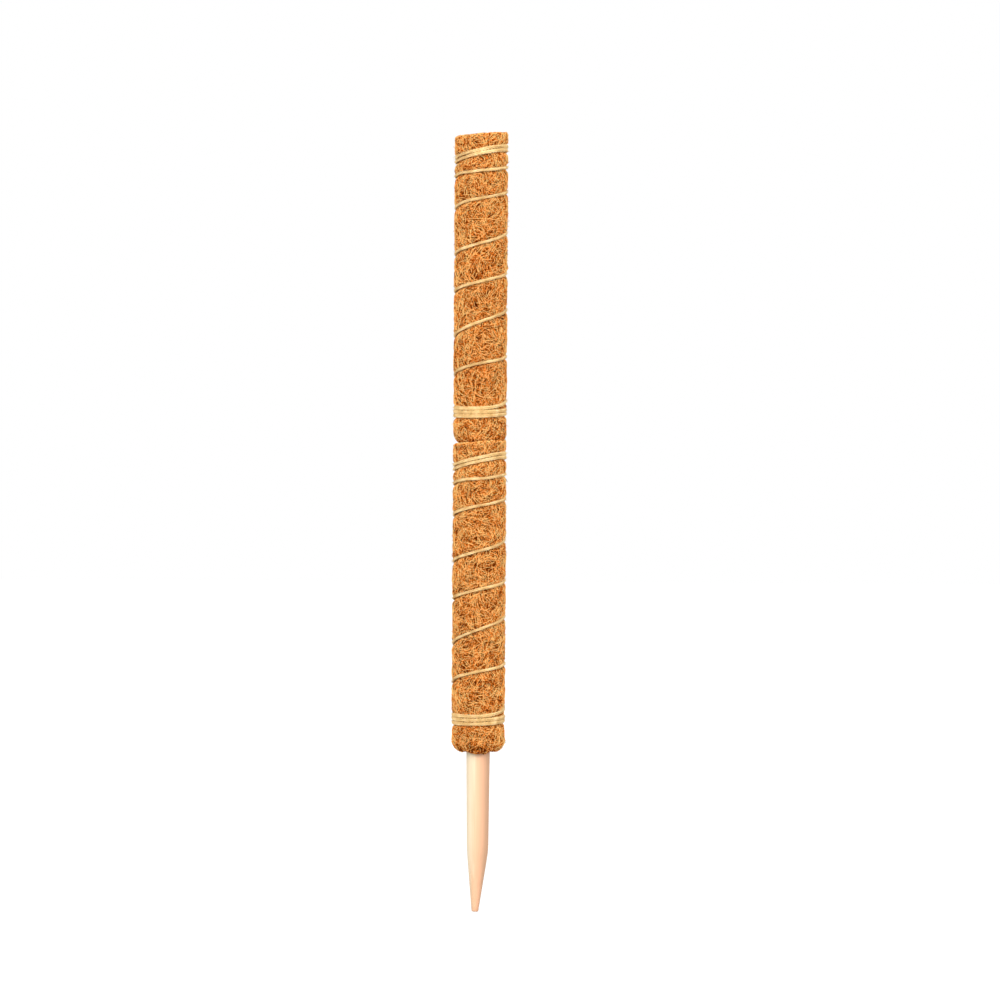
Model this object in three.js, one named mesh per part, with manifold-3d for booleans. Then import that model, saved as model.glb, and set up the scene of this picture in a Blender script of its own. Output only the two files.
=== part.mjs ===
// Two stackable coir moss poles for climbing plants, in millimetres, with +Z up.
// Each pole is a core tube with a pointed stake pushed into its foot, a sleeve of coir felt round the tube,
// and one length of jute twine that lashes the sleeve at its foot and its rim and spirals between them.
// The upper pole's stake stands in the open top of the lower pole's tube.
// The origin is on the axis at the soil line, which is the foot of the lower pole.
import * as THREE from 'three';
import { mergeVertices } from 'three/addons/utils/BufferGeometryUtils.js';
import Module from 'manifold-3d';

const wasm = await Module();
wasm.setup();

// Core tube
const TUBE_LENGTH = 157.1;
const TUBE_OUTER_DIAMETER = 16;
const TUBE_WALL = 1.6;
const TUBE_EDGE_BEVEL = 0.4;

// Wooden stake
const STAKE_EXPOSED_LENGTH = 82.4;
const STAKE_POINT_LENGTH = 31.2;
const STAKE_FIT = 0.35;
const STAKE_TAPER = 1.1;
const STAKE_TIP_DIAMETER = 3.4;
const STAKE_TIP_OFFSET = -1.2;
const STAKE_EDGE_BEVEL = 0.8;
const SOCKET_SPARE_DEPTH = 10;

// Coir sleeve
const MAT_THICKNESS = 5.45;
const MAT_FIT = 0.3;
const MAT_FOOT_ROUND = 5.4;
const MAT_RIM_RISE = 2;
const MAT_RIM_SLANT = 2;
const MAT_SEAM_WIDTH = 0.6;
const MAT_SEAM_AZIMUTH = THREE.MathUtils.degToRad(55);

// Joint between the poles
const SEAT_GAP = 0.3;

// Jute twine
const TWINE_DIAMETER = 1.5;
const TWINE_GAP = 0.5;
const TWINE_BEND_RADIUS = 2.6;
const TWINE_TAIL_LENGTH = 4;
const TWINE_GROOVE_PLAY = 0.3;
const TAIL_GROOVE_PLAY = 0.42;
const TWINE_GROOVE_FLARE = 0.9;
const HUMP_HALF_LENGTH = 5.5;

// Lashings: height of the lower one's first strand, drop of the upper one's last strand below the rim.
// The lower one droops at the front; the upper one tilts up to the right and nods up at the front.
const LOWER_LASH_STRANDS = 3;
const LOWER_LASH_HEIGHT = 15.3;
const LOWER_LASH_DROOP = 1;
const UPPER_LASH_STRANDS = 2;
const UPPER_LASH_DROP = 9.3;
const UPPER_LASH_TILT = 2.4;
const UPPER_LASH_NOD = 0.9;

// Turns from the lower lashing up to the upper one, each as a share of the full pitch, wound by hand
const SPIRAL_SHARES = [1.08, 1.05, 1.01, 0.97, 1.14, 0.69, 0.39];

// Slopes of the strands between those turns at the front, each as a share of the lesser climb beside it
const SPIRAL_LEANS = [0.7, 1.49, 0.98, 1.11, 1.01, 0.8];

// Facets
const TUBE_SIDES = 48;
const STAKE_SIDES = 32;
const MAT_SIDES = 24;
const ROUND_STEPS = 5;
const TWINE_SIDES = 6;
const STEPS_PER_TURN = 24;
const FINE_STEPS = 3;
const BEND_STEPS = 4;
const GAP_SAMPLES = 4;
const MERGE_TOLERANCE = 1e-4;

// Derived sizes
const TUBE_OUTER_RADIUS = TUBE_OUTER_DIAMETER / 2;
const BORE_RADIUS = TUBE_OUTER_RADIUS - TUBE_WALL;
const STACK_PITCH = TUBE_LENGTH + SEAT_GAP;
const STAKE_RADIUS = BORE_RADIUS - STAKE_FIT;
const STAKE_EMBEDDED_LENGTH = TUBE_LENGTH - STAKE_EXPOSED_LENGTH - SOCKET_SPARE_DEPTH;
const MAT_INNER_RADIUS = TUBE_OUTER_RADIUS + MAT_FIT;
const MAT_OUTER_RADIUS = MAT_INNER_RADIUS + MAT_THICKNESS;
const MAT_RIM_HEIGHT = TUBE_LENGTH + MAT_RIM_RISE;
const FOOT_ROUND = Math.min(MAT_FOOT_ROUND, MAT_THICKNESS);
const TWINE_RADIUS = TWINE_DIAMETER / 2;
const TWINE_SPACING = TWINE_DIAMETER + TWINE_GAP;
const WINDING_RADIUS = MAT_OUTER_RADIUS - TWINE_RADIUS;

// Shapes from profiles and paths

function closedGeometry(geometry) {
  const bare = geometry.clone();
  bare.deleteAttribute('normal');
  bare.deleteAttribute('uv');
  const merged = mergeVertices(bare, MERGE_TOLERANCE);
  const corners = merged.index.array;
  const kept = [];
  for (let i = 0; i < corners.length; i += 3) {
    const [a, b, c] = corners.slice(i, i + 3);
    const isTriangle = a !== b && b !== c && c !== a;
    if (isTriangle) kept.push(a, b, c);
  }
  merged.setIndex(kept);
  return merged;
}

function lathe(profile, sides) {
  const points = profile.map(([radius, height]) => new THREE.Vector2(radius, height));
  const turned = new THREE.LatheGeometry(points, sides);
  turned.rotateX(Math.PI / 2);
  return closedGeometry(turned);
}

function toSolid(geometry) {
  return new wasm.Manifold(new wasm.Mesh({
    numProp: 3,
    vertProperties: new Float32Array(geometry.attributes.position.array),
    triVerts: new Uint32Array(geometry.index.array),
  }));
}

function toGeometry(solid) {
  const mesh = solid.getMesh();
  const geometry = new THREE.BufferGeometry();
  geometry.setAttribute('position', new THREE.BufferAttribute(mesh.vertProperties, 3));
  geometry.setIndex(new THREE.BufferAttribute(mesh.triVerts, 1));
  return closedGeometry(geometry);
}

// A station is a point on a path with the direction that points away from the pole's axis there.
function station(azimuth, height, radius) {
  const outward = new THREE.Vector3(Math.cos(azimuth), Math.sin(azimuth), 0);
  const centre = outward.clone().multiplyScalar(radius).setZ(height);
  return { centre, outward };
}

// Directions of a section: square to the path, or upright in the plane through the pole's axis.
function sectionAxes(stations, i, isUpright) {
  const { outward } = stations[i];
  if (isUpright) return { out: outward, sideways: new THREE.Vector3(0, 0, -1) };
  const ahead = stations[Math.min(i + 1, stations.length - 1)].centre;
  const behind = stations[Math.max(i - 1, 0)].centre;
  const along = ahead.clone().sub(behind).normalize();
  const sideways = along.clone().cross(outward).normalize();
  return { out: sideways.clone().cross(along), sideways };
}

// Sweeps a convex section, given as outward and sideways offsets, along the stations and closes both ends.
function sweep(stations, section, isUpright = false) {
  const sides = section.length;
  const last = stations.length - 1;
  const vertices = [];
  stations.forEach(({ centre }, i) => {
    const { out, sideways } = sectionAxes(stations, i, isUpright);
    for (const [outOffset, sideOffset] of section) {
      const corner = centre.clone().addScaledVector(out, outOffset).addScaledVector(sideways, sideOffset);
      vertices.push(...corner.toArray());
    }
  });
  const corners = [];
  for (let i = 0; i < last; i += 1) {
    for (let j = 0; j < sides; j += 1) {
      const here = i * sides + j;
      const beside = i * sides + (j + 1) % sides;
      corners.push(here, beside, beside + sides, here, beside + sides, here + sides);
    }
  }
  for (let j = 1; j < sides - 1; j += 1) {
    const end = last * sides;
    corners.push(0, j + 1, j, end, end + j, end + j + 1);
  }
  const geometry = new THREE.BufferGeometry();
  geometry.setAttribute('position', new THREE.Float32BufferAttribute(vertices, 3));
  geometry.setIndex(corners);
  return geometry;
}

// Core tube and stake

function tubeGeometry() {
  const bevel = TUBE_EDGE_BEVEL;
  return lathe([
    [BORE_RADIUS, 0],
    [TUBE_OUTER_RADIUS - bevel, 0],
    [TUBE_OUTER_RADIUS, bevel],
    [TUBE_OUTER_RADIUS, TUBE_LENGTH - bevel],
    [TUBE_OUTER_RADIUS - bevel, TUBE_LENGTH],
    [BORE_RADIUS, TUBE_LENGTH],
    [BORE_RADIUS, 0],
  ], TUBE_SIDES);
}

// The point is whittled a little to one side, so the rings below its shoulder shift with depth.
function stakeGeometry() {
  const tipRadius = STAKE_TIP_DIAMETER / 2;
  const shoulder = STAKE_POINT_LENGTH - STAKE_EXPOSED_LENGTH;
  const geometry = lathe([
    [0, -STAKE_EXPOSED_LENGTH],
    [tipRadius, -STAKE_EXPOSED_LENGTH],
    [STAKE_RADIUS - STAKE_TAPER / 2, shoulder],
    [STAKE_RADIUS, 0],
    [STAKE_RADIUS, STAKE_EMBEDDED_LENGTH - STAKE_EDGE_BEVEL],
    [STAKE_RADIUS - STAKE_EDGE_BEVEL, STAKE_EMBEDDED_LENGTH],
    [0, STAKE_EMBEDDED_LENGTH],
  ], STAKE_SIDES);
  const position = geometry.attributes.position;
  for (let i = 0; i < position.count; i += 1) {
    const depth = Math.max(0, shoulder - position.getZ(i));
    position.setX(i, position.getX(i) + STAKE_TIP_OFFSET * depth / STAKE_POINT_LENGTH);
  }
  return geometry;
}

// Twine: turn 0 is the first strand at the front, and each whole turn is the next strand there

function strandHeights() {
  const firstUpper = MAT_RIM_HEIGHT - UPPER_LASH_DROP - (UPPER_LASH_STRANDS - 1) * TWINE_SPACING;
  const lastLower = LOWER_LASH_HEIGHT + (LOWER_LASH_STRANDS - 1) * TWINE_SPACING;
  const pitch = (firstUpper - lastLower) / SPIRAL_SHARES.reduce((sum, share) => sum + share);
  const climbs = [
    ...Array(LOWER_LASH_STRANDS).fill(TWINE_SPACING),
    ...SPIRAL_SHARES.map((share) => share * pitch),
    ...Array(UPPER_LASH_STRANDS).fill(TWINE_SPACING),
  ];
  const heights = [LOWER_LASH_HEIGHT - TWINE_SPACING];
  for (const climb of climbs) heights.push(heights.at(-1) + climb);
  return heights;
}

const STRAND_HEIGHTS = strandHeights();
const FIRST_TURN = -0.5;
const LAST_TURN = STRAND_HEIGHTS.length - 2.5;
const LAST_LOWER_TURN = LOWER_LASH_STRANDS - 1;
const FIRST_UPPER_TURN = LAST_LOWER_TURN + SPIRAL_SHARES.length;
const BEND_TURN = TWINE_BEND_RADIUS / (2 * Math.PI * WINDING_RADIUS);
const CROSSED_TURNS = [FIRST_TURN + 1, FIRST_TURN + 2, LAST_TURN - 2, LAST_TURN - 1];

// Slope of the height at a listed strand: the lesser climb beside it, so lashed strands stay evenly spaced,
// and leaned by hand in the spiral
function strandSlope(index) {
  const lean = SPIRAL_LEANS[index - 1 - LOWER_LASH_STRANDS] ?? 1;
  const climbs = [];
  if (index > 0) climbs.push(STRAND_HEIGHTS[index] - STRAND_HEIGHTS[index - 1]);
  if (index < STRAND_HEIGHTS.length - 1) climbs.push(STRAND_HEIGHTS[index + 1] - STRAND_HEIGHTS[index]);
  return lean * Math.min(...climbs);
}

function climbedHeight(turn) {
  const index = Math.min(Math.floor(turn) + 1, STRAND_HEIGHTS.length - 2);
  const t = turn + 1 - index;
  const rise = STRAND_HEIGHTS[index + 1] - STRAND_HEIGHTS[index];
  const eased = t * t * (3 - 2 * t);
  const leaving = t * (1 - t) * (1 - t) * strandSlope(index);
  const arriving = t * t * (t - 1) * strandSlope(index + 1);
  return STRAND_HEIGHTS[index] + rise * eased + leaving + arriving;
}

function turnAzimuth(turn) {
  return 2 * Math.PI * turn - Math.PI / 2;
}

function twineHeight(turn) {
  const azimuth = turnAzimuth(turn);
  const inLower = 1 - THREE.MathUtils.smoothstep(turn, LAST_LOWER_TURN, LAST_LOWER_TURN + 1);
  const inUpper = THREE.MathUtils.smoothstep(turn, FIRST_UPPER_TURN - 1, FIRST_UPPER_TURN);
  const droop = inLower * LOWER_LASH_DROOP * Math.sin(azimuth);
  const tilt = inUpper * (UPPER_LASH_TILT * Math.cos(azimuth) - UPPER_LASH_NOD * Math.sin(azimuth));
  return climbedHeight(turn) + droop + tilt;
}

// How far along the winding a turn is from the nearest place where it crosses a tucked tail
function distanceToCrossing(turn) {
  const nearest = Math.min(...CROSSED_TURNS.map((crossed) => Math.abs(turn - crossed)));
  return nearest * 2 * Math.PI * WINDING_RADIUS;
}

function humpLift(turn) {
  const distance = Math.min(distanceToCrossing(turn), HUMP_HALF_LENGTH);
  return TWINE_SPACING * Math.cos(0.5 * Math.PI * distance / HUMP_HALF_LENGTH) ** 2;
}

// Turns at whole steps between two turns, with finer steps over each hump if asked
function windingTurns(from, to, hasHumps) {
  const turns = [from];
  const fineStep = 1 / (STEPS_PER_TURN * FINE_STEPS);
  for (let i = Math.ceil(from / fineStep + 0.5); i * fineStep < to - 0.5 * fineStep; i += 1) {
    const isHump = hasHumps && distanceToCrossing(i * fineStep) < HUMP_HALF_LENGTH;
    if (isHump || i % FINE_STEPS === 0) turns.push(i * fineStep);
  }
  turns.push(to);
  return turns;
}

function windingStations(from, to, hasHumps) {
  return windingTurns(from, to, hasHumps).map((turn) => {
    const lift = hasHumps ? humpLift(turn) : 0;
    return station(turnAzimuth(turn), twineHeight(turn), WINDING_RADIUS + lift);
  });
}

// The first tail runs down under the lower lashing and bends into its first strand.
function firstTail(extra) {
  const azimuth = turnAzimuth(FIRST_TURN);
  const strand = twineHeight(FIRST_TURN + BEND_TURN);
  const free = twineHeight(FIRST_TURN + 2) + TWINE_TAIL_LENGTH + extra;
  const stations = [station(azimuth, free, WINDING_RADIUS)];
  for (let k = 0; k < BEND_STEPS; k += 1) {
    const angle = 0.5 * Math.PI * k / BEND_STEPS;
    const across = TWINE_BEND_RADIUS * (1 - Math.cos(angle)) / WINDING_RADIUS;
    const height = strand + TWINE_BEND_RADIUS * (1 - Math.sin(angle));
    stations.push(station(azimuth + across, height, WINDING_RADIUS));
  }
  return stations;
}

// The last tail bends down out of the upper lashing's last strand and runs under the strands below it.
function lastTail(extra) {
  const azimuth = turnAzimuth(LAST_TURN);
  const strand = twineHeight(LAST_TURN - BEND_TURN);
  const free = twineHeight(LAST_TURN - 2) - TWINE_TAIL_LENGTH - extra;
  const stations = [];
  for (let k = 1; k <= BEND_STEPS; k += 1) {
    const angle = 0.5 * Math.PI * k / BEND_STEPS;
    const across = TWINE_BEND_RADIUS * (1 - Math.sin(angle)) / WINDING_RADIUS;
    const height = strand - TWINE_BEND_RADIUS * (1 - Math.cos(angle));
    stations.push(station(azimuth - across, height, WINDING_RADIUS));
  }
  stations.push(station(azimuth, free, WINDING_RADIUS));
  return stations;
}

function twineStations() {
  const winding = windingStations(FIRST_TURN + BEND_TURN, LAST_TURN - BEND_TURN, true);
  return [...firstTail(0), ...winding, ...lastTail(0)];
}

function twineSection() {
  const section = [];
  for (let j = 0; j < TWINE_SIDES; j += 1) {
    const angle = 2 * Math.PI * j / TWINE_SIDES;
    section.push([TWINE_RADIUS * Math.cos(angle), TWINE_RADIUS * Math.sin(angle)]);
  }
  return section;
}

// Points along the twine's middle, each with the length of twine before it
function twineSamples(stations) {
  const samples = [];
  let length = 0;
  for (let i = 0; i < stations.length - 1; i += 1) {
    const from = stations[i].centre;
    const to = stations[i + 1].centre;
    const step = from.distanceTo(to) / GAP_SAMPLES;
    for (let k = 0; k < GAP_SAMPLES; k += 1) {
      samples.push({ point: from.clone().lerp(to, k / GAP_SAMPLES), length });
      length += step;
    }
  }
  samples.push({ point: stations.at(-1).centre, length });
  return samples;
}

function leastSelfGap(samples) {
  const sameStrand = 4 * TWINE_DIAMETER;
  let least = Infinity;
  samples.forEach((a, i) => {
    for (const b of samples.slice(i + 1)) {
      if (b.length - a.length > sameStrand) least = Math.min(least, a.point.distanceTo(b.point));
    }
  });
  return least - TWINE_DIAMETER;
}

function twineGeometry() {
  const stations = twineStations();
  const samples = twineSamples(stations);
  const length = samples.at(-1).length.toFixed(0);
  console.log(`twine: ${length} mm long, least gap to itself ${leastSelfGap(samples).toFixed(2)} mm`);
  return sweep(stations, twineSection());
}

// Coir sleeve

// Quarter round of the sleeve's foot, grown outwards by a margin, from its flat ring up to its side
function footRound(margin) {
  const round = FOOT_ROUND + margin;
  const points = [];
  for (let k = 0; k <= ROUND_STEPS; k += 1) {
    const angle = 0.5 * Math.PI * (k / ROUND_STEPS - 1);
    const radius = MAT_OUTER_RADIUS - FOOT_ROUND + round * Math.cos(angle);
    points.push([radius, FOOT_ROUND + round * Math.sin(angle)]);
  }
  return points;
}

// The rim is cut at a slant, higher on the right.
function sleeveBlank() {
  const geometry = lathe([
    [MAT_INNER_RADIUS, 0],
    ...footRound(0),
    [MAT_OUTER_RADIUS, MAT_RIM_HEIGHT],
    [MAT_INNER_RADIUS, MAT_RIM_HEIGHT],
    [MAT_INNER_RADIUS, 0],
  ], MAT_SIDES);
  const position = geometry.attributes.position;
  for (let i = 0; i < position.count; i += 1) {
    const isRim = position.getZ(i) > MAT_RIM_HEIGHT - MERGE_TOLERANCE;
    const slant = MAT_RIM_SLANT * position.getX(i) / (2 * MAT_OUTER_RADIUS);
    if (isRim) position.setZ(i, MAT_RIM_HEIGHT + slant);
  }
  return toSolid(geometry);
}

// Space that the next pole's rounded foot takes in the rim
function footSpace() {
  const top = MAT_RIM_RISE + MAT_RIM_SLANT + FOOT_ROUND;
  const geometry = lathe([
    [0, -SEAT_GAP],
    ...footRound(SEAT_GAP),
    [MAT_OUTER_RADIUS + SEAT_GAP, top],
    [0, top],
  ], MAT_SIDES);
  geometry.translate(0, 0, STACK_PITCH);
  return toSolid(geometry);
}

function seamSlit() {
  const depth = 2 * MAT_OUTER_RADIUS;
  const geometry = new THREE.BoxGeometry(depth, MAT_SEAM_WIDTH, 3 * MAT_RIM_HEIGHT);
  geometry.translate(depth / 2, 0, 0);
  geometry.rotateZ(MAT_SEAM_AZIMUTH);
  return toSolid(closedGeometry(geometry));
}

// Section of the groove that the twine presses into the coir, wider towards the surface
function grooveSection(play) {
  const floor = TWINE_RADIUS + play;
  const mouth = floor + TWINE_GROOVE_FLARE;
  return [[-floor, -floor], [floor, -mouth], [floor, mouth], [-floor, floor]];
}

// The groove is cut in half turns that overlap by one step, because whole turns would run into each other.
function grooveCutters() {
  const start = FIRST_TURN + BEND_TURN;
  const end = LAST_TURN - BEND_TURN;
  const step = 1 / STEPS_PER_TURN;
  const firstRun = [...firstTail(TAIL_GROOVE_PLAY), ...windingStations(start, start + step, false)];
  const lastRun = [...windingStations(end - step, end, false), ...lastTail(TAIL_GROOVE_PLAY)];
  const cutters = [firstRun, lastRun].map((run) => sweep(run, grooveSection(TAIL_GROOVE_PLAY)));
  for (let turn = FIRST_TURN; turn < end; turn += 0.5) {
    const run = windingStations(Math.max(turn, start), Math.min(turn + 0.5 + step, end), false);
    cutters.push(sweep(run, grooveSection(TWINE_GROOVE_PLAY), true));
  }
  return cutters;
}

function sleeveGeometry() {
  let sleeve = sleeveBlank().subtract(footSpace()).subtract(seamSlit());
  for (const cutter of grooveCutters()) sleeve = sleeve.subtract(toSolid(cutter));
  return toGeometry(sleeve);
}

// Assembly

const materials = {
  stake: new THREE.MeshStandardMaterial({ color: 0xf3d9b1, roughness: 0.7, metalness: 0 }),
  core_tube: new THREE.MeshStandardMaterial({ color: 0x4a4640, roughness: 0.55, metalness: 0 }),
  coir_mat: new THREE.MeshStandardMaterial({ color: 0xce8242, roughness: 0.95, metalness: 0 }),
  twine: new THREE.MeshStandardMaterial({ color: 0xecd394, roughness: 0.9, metalness: 0 }),
};

const geometries = {
  stake: stakeGeometry(),
  core_tube: tubeGeometry(),
  coir_mat: sleeveGeometry(),
  twine: twineGeometry(),
};

function pole(prefix) {
  const group = new THREE.Group();
  for (const [piece, geometry] of Object.entries(geometries)) {
    const mesh = new THREE.Mesh(geometry, materials[piece]);
    mesh.name = `${prefix}_${piece}`;
    group.add(mesh);
  }
  return group;
}

const mossPole = new THREE.Group();
const lowerPole = pole('lower');
const upperPole = pole('upper');
upperPole.position.z = STACK_PITCH;
mossPole.add(lowerPole, upperPole);

export default mossPole;
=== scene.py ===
# Looks of a stacked pair of coir moss poles, in metres with +Z up: curly coir fibres on a felt sleeve,
# three-ply jute twine, a whittled wooden stake and a plastic core tube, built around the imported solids.
import math
from collections import namedtuple

import bpy
import numpy as np
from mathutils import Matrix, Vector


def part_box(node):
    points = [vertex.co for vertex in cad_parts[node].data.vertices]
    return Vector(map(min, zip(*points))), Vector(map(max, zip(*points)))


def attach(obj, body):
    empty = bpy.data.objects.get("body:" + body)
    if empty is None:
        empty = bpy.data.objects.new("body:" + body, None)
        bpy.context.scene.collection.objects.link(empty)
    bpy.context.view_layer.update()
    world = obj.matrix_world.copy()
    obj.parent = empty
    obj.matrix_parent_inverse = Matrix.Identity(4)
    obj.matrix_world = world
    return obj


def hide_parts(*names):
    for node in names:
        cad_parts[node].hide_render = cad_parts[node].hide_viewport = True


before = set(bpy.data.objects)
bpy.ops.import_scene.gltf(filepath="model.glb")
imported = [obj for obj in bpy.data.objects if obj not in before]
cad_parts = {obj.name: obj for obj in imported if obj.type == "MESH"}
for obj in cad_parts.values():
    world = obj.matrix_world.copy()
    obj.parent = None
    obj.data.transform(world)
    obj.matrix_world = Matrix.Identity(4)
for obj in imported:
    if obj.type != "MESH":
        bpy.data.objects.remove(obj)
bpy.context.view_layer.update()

MM = 0.001
FRONT_AZIMUTH = -math.pi / 2
BACK_AZIMUTH = math.pi / 2

# Sizes read from the frame
TUBE_LOW, TUBE_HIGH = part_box("lower_core_tube")
MAT_LOW, MAT_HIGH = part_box("lower_coir_mat")
STAKE_LOW, STAKE_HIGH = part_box("lower_stake")
TUBE_RADIUS = (TUBE_HIGH.x - TUBE_LOW.x) / 2
TUBE_LENGTH = TUBE_HIGH.z - TUBE_LOW.z
MAT_RADIUS = (MAT_HIGH.x - MAT_LOW.x) / 2
STAKE_RADIUS = (STAKE_HIGH.y - STAKE_LOW.y) / 2
STACK_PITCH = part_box("upper_core_tube")[0].z - TUBE_LOW.z

# Sizes shared with the solids
TUBE_WALL = 1.6 * MM
TUBE_EDGE = 0.4 * MM
STAKE_POINT_LENGTH = 31.2 * MM
STAKE_TAPER = 0.55 * MM
STAKE_TIP_RADIUS = 1.7 * MM
STAKE_TIP_OFFSET = -1.2 * MM
STAKE_EDGE = 0.8 * MM
MAT_FIT = 0.3 * MM
FOOT_ROUND = 5.4 * MM
RIM_RISE = 2 * MM
RIM_SLANT = 2 * MM
SEAT_GAP = 0.3 * MM
SEAM_AZIMUTH = math.radians(55)
STAKE_SHOULDER_HEIGHT = STAKE_LOW.z + STAKE_POINT_LENGTH
RIM_HEIGHT = TUBE_LENGTH + RIM_RISE
MAT_INNER_RADIUS = TUBE_RADIUS + MAT_FIT
FOOT_MIDDLE_RADIUS = MAT_RADIUS - FOOT_ROUND
DISH_ROUND = FOOT_ROUND + SEAT_GAP
DISH_MIDDLE_HEIGHT = STACK_PITCH + FOOT_ROUND

# Tube and stake: sides round them, the stake's softened tip and shoulder, and the rings along these
TUBE_SIDES = 96
STAKE_SIDES = 64
STAKE_TIP_ROUND = 0.5 * MM
STAKE_TIP_BEVEL = 0.15 * MM
STAKE_SHOULDER_ROUND = 4 * MM
STAKE_POINT_RINGS = 12
STAKE_SHOULDER_SHARES = np.linspace(0.1, 1, 8)

# Twine, wound as in the solids: each turn of its spiral as a share of the pitch, and the slope of each strand
# at the front as a share of the lesser climb beside it
TWINE_RADIUS = 0.75 * MM
TWINE_SPACING = 2 * MM
TWINE_BEND = 2.6 * MM
TWINE_TAIL = 4 * MM
HUMP_HALF_LENGTH = 5.5 * MM
LOWER_LASH_STRANDS = 3
LOWER_LASH_HEIGHT = 15.3 * MM
LOWER_LASH_DROOP = 1 * MM
UPPER_LASH_STRANDS = 2
UPPER_LASH_DROP = 9.3 * MM
UPPER_LASH_TILT = 2.4 * MM
UPPER_LASH_NOD = 0.9 * MM
SPIRAL_SHARES = (1.08, 1.05, 1.01, 0.97, 1.14, 0.69, 0.39)
SPIRAL_LEANS = (0.7, 1.49, 0.98, 1.11, 1.01, 0.8)
WINDING_RADIUS = MAT_RADIUS - TWINE_RADIUS
BEND_POINTS = 8
TAIL_POINTS = 8
TURN_POINTS = 160

# Plies of the twine; it is drawn flat and wide on the sleeve, and most so in the lashings
PLY_COUNT = 3
PLY_RADIUS = 0.37 * MM
PLY_OFFSET = 0.42 * MM
PLY_LAY = 5.2 * MM
TWINE_WIDENING = 1.05
TWINE_FLATTENING = 0.8
LASH_PLY_SWELL = 1.22
LASH_WIDENING = 1.4
LASH_FLATTENING = 0.7
LASH_EASE_TURNS = 0.5
SLUB_SHARE = 0.32
SLUB_STEP = 3.5 * MM
WANDER = 0.22 * MM
WANDER_STEP = 6 * MM
PLY_STEP = 0.55 * MM
PLY_SIDES = 7
PLY_CELLS = 42

# Loose hairs of the twine
HAIR_COUNT = 2200
HAIR_RINGS = 5
HAIR_SIDES = 3
HAIR_RADIUS = 0.06 * MM
HAIR_TAPER = 0.6
HAIR_LENGTHS = (0.7 * MM, 2.4 * MM)
HAIR_BENDS = (0.15, 0.6)
HAIR_ROOT_RADIUS = 0.8 * TWINE_RADIUS
HAIRLESS_END_POINTS = 8

# Surface of the sleeve, and the felt under the fibres
RIM_EDGE = 1 * MM
FOOT_POINTS = 24
LIP_POINTS = 16
DISH_POINTS = 16
FELT_AZIMUTHS = 208
FELT_ROWS = 420
FELT_DEPTH = 1 * MM
FELT_LIP_SHARE = 0.4
FELT_WALL_STEP = 0.03 * MM
PRESS_DEPTH = 2 * MM
PRESS_WIDTH = 1.4 * MM
PRESS_DROP = 0.45 * MM
SEAM_DEPTH = 0.9 * MM
SEAM_WIDTH = 0.6 * MM
LUMP_HEIGHT = 0.2 * MM
LUMP_SIZE = 4 * MM
HOLE_DEPTH = 0.2 * MM
HOLE_SIZE = 0.9 * MM
GRAIN_SIZE = 9 * MM

# Frayed foot of the lower pole: it hangs lowest at the front, and waves all round
HEM_SAG = 1.3 * MM
HEM_SAG_ANGLE = 0.7
HEM_WAVES = (5, 8, 13)
HEM_WAVE_HEIGHT = 0.18 * MM

# Layers of fibres from the felt out: fibres, fibres in a tuft and rings along each fibre, then depths below
# the surface, lengths, radii and mean tone; the deeper layers' darker mean tones are painted shade among the
# fibres
Layer = namedtuple("Layer", "name count tuft rings depths lengths radii tone")
FIBRE_LAYERS = (
    Layer("under", 5000, 4, 4, (0.6 * MM, 0.95 * MM), (3 * MM, 8 * MM), (0.16 * MM, 0.24 * MM), 0.05),
    Layer("low", 5000, 4, 5, (0.45 * MM, 0.65 * MM), (3 * MM, 8 * MM), (0.14 * MM, 0.18 * MM), 0.2),
    Layer("middle", 6000, 4, 5, (0.25 * MM, 0.4 * MM), (3 * MM, 8 * MM), (0.14 * MM, 0.18 * MM), 0.5),
    Layer("top", 6000, 4, 5, (0, 0.15 * MM), (3 * MM, 8 * MM), (0.14 * MM, 0.18 * MM), 0.88),
    Layer("long", 250, 1, 16, (-0.08 * MM, 0.05 * MM), (9 * MM, 18 * MM), (0.13 * MM, 0.17 * MM), 0.95),
    Layer("stray", 60, 1, 24, (-0.15 * MM, 0.02 * MM), (14 * MM, 28 * MM), (0.14 * MM, 0.2 * MM), 0.9),
)

# Spread of the tufts: steps by the inverse powers of this number fill the sleeve evenly
PLASTIC_NUMBER = 1.324718
EVEN_STEPS = (1 / PLASTIC_NUMBER, 1 / PLASTIC_NUMBER ** 2)
TUFT_SPACING = 0.85 * MM
TUFT_JITTER = 0.1 * MM
TUFT_STAGGER = 1.5 * MM
TUFT_SPREAD = 0.1

# Shape of the fibres; waves are counted along a fibre, and the spread is in radians
FIBRE_SIDES = 3
FIBRE_CURL = 0.07 / MM
FIBRE_CURL_MEMORY = 0.6
FIBRE_SPREAD = 0.9
FIBRE_WAVE = 0.12 * MM
FIBRE_WAVES = (0.6, 1.8)
FIBRE_TAPER = 0.55
FIBRE_END_DIVE = 0.4 * MM
FIBRE_DIVE_SHARE = 0.22
FIBRE_HOLE_SHARE = 0.6
LOOSE_SHARE = 0.02
LOOSE_LIFTS = (0.2 * MM, 1.3 * MM)
FRAYED_LOOSE_SHARE = 0.12
FRAYED_END_SHARE = 0.04
UPRIGHT_SIDE = 0.97

# Tones of the fibres
TONE_SPREAD = 0.35
TONE_DRIFT = 0.25
RIM_PALE_BAND = 5 * MM
RIM_PALENESS = 0.18
# Painted shade: how much darker fibres are where they face down, away from the light above
UNDERSIDE_PAINTED_SHADE = 0.35

# Patterns of the materials
COIR_MOTTLE = 3
# Painted shade in the felt's hollows
FELT_HOLLOW_PAINTED_SHADE = 0.6
TWINE_STREAK_SHARE = 0.5
WOOD_GRAIN_SHARE = 0.45
WOOD_GRAIN_SHIFT = 0.5
# Painted shade on the stake: darker on one side and towards its downward point; that side is also pinker as
# the wood's own tint
WOOD_SIDE_TINT_AND_PAINTED_SHADE = 0.5
WOOD_TIP_PAINTED_SHADE = 0.2

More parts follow.
